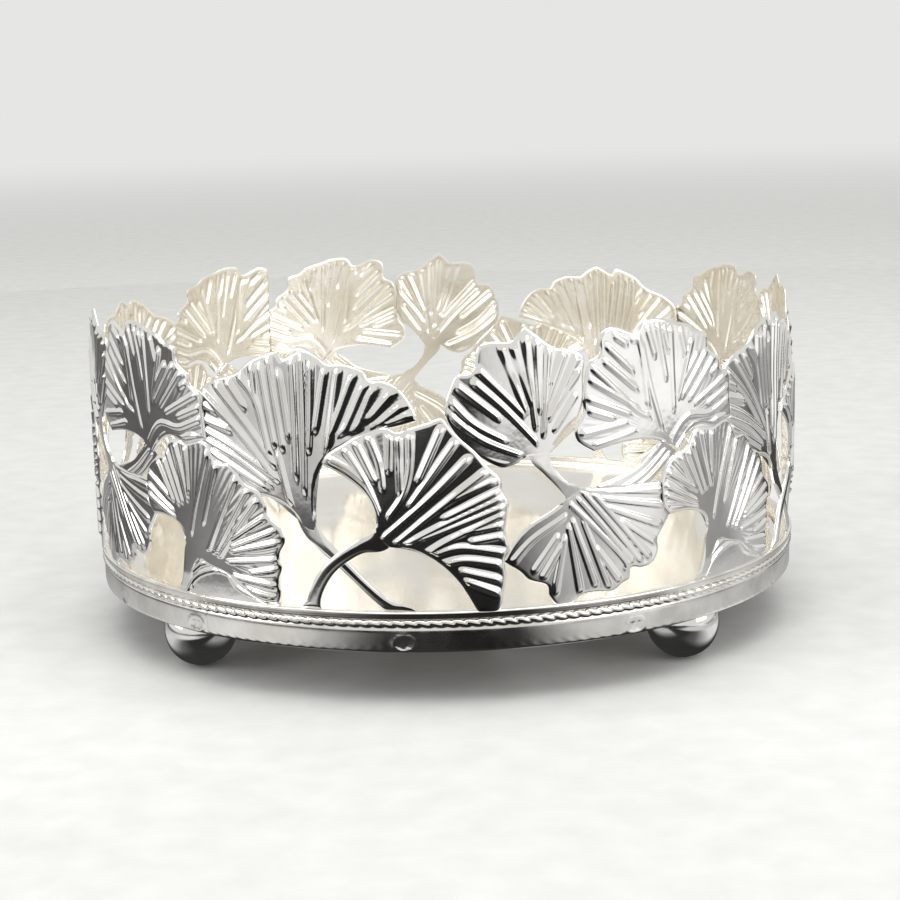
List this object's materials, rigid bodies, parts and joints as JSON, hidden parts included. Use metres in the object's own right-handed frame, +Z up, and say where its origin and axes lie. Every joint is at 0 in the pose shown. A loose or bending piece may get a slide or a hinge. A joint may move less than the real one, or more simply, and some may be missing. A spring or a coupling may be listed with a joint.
{
  "type": "metal tray",
  "caption": "Round polished metal tray with a tall pierced gallery of overlapping ginkgo leaves, a beaded band and ball feet.",
  "frame": {"origin": "centre of the tray on the table it stands on, under the round floor", "axes": "+Z up, along the tray's round axis; -Y towards the side that the picture shows from the front"},
  "size_m": [0.2036, 0.2036, 0.0946],
  "materials": {
    "gallery_plate": "pressed and pierced sheet, silver plated and polished",
    "floor_plate": "flat sheet, silver plated, mirror polished",
    "foot_plate": "turned ball, silver plated and polished"
  },
  "bodies": {
    "root": {"base_pan": "floor_plate", "gallery_panel_1": "gallery_plate", "gallery_panel_2": "gallery_plate", "gallery_panel_3": "gallery_plate", "gallery_panel_4": "gallery_plate", "gallery_closing_piece": "gallery_plate", "ball_foot_1": "foot_plate", "ball_foot_2": "foot_plate", "ball_foot_3": "foot_plate", "ball_foot_4": "foot_plate"}
  },
  "joints": []
}
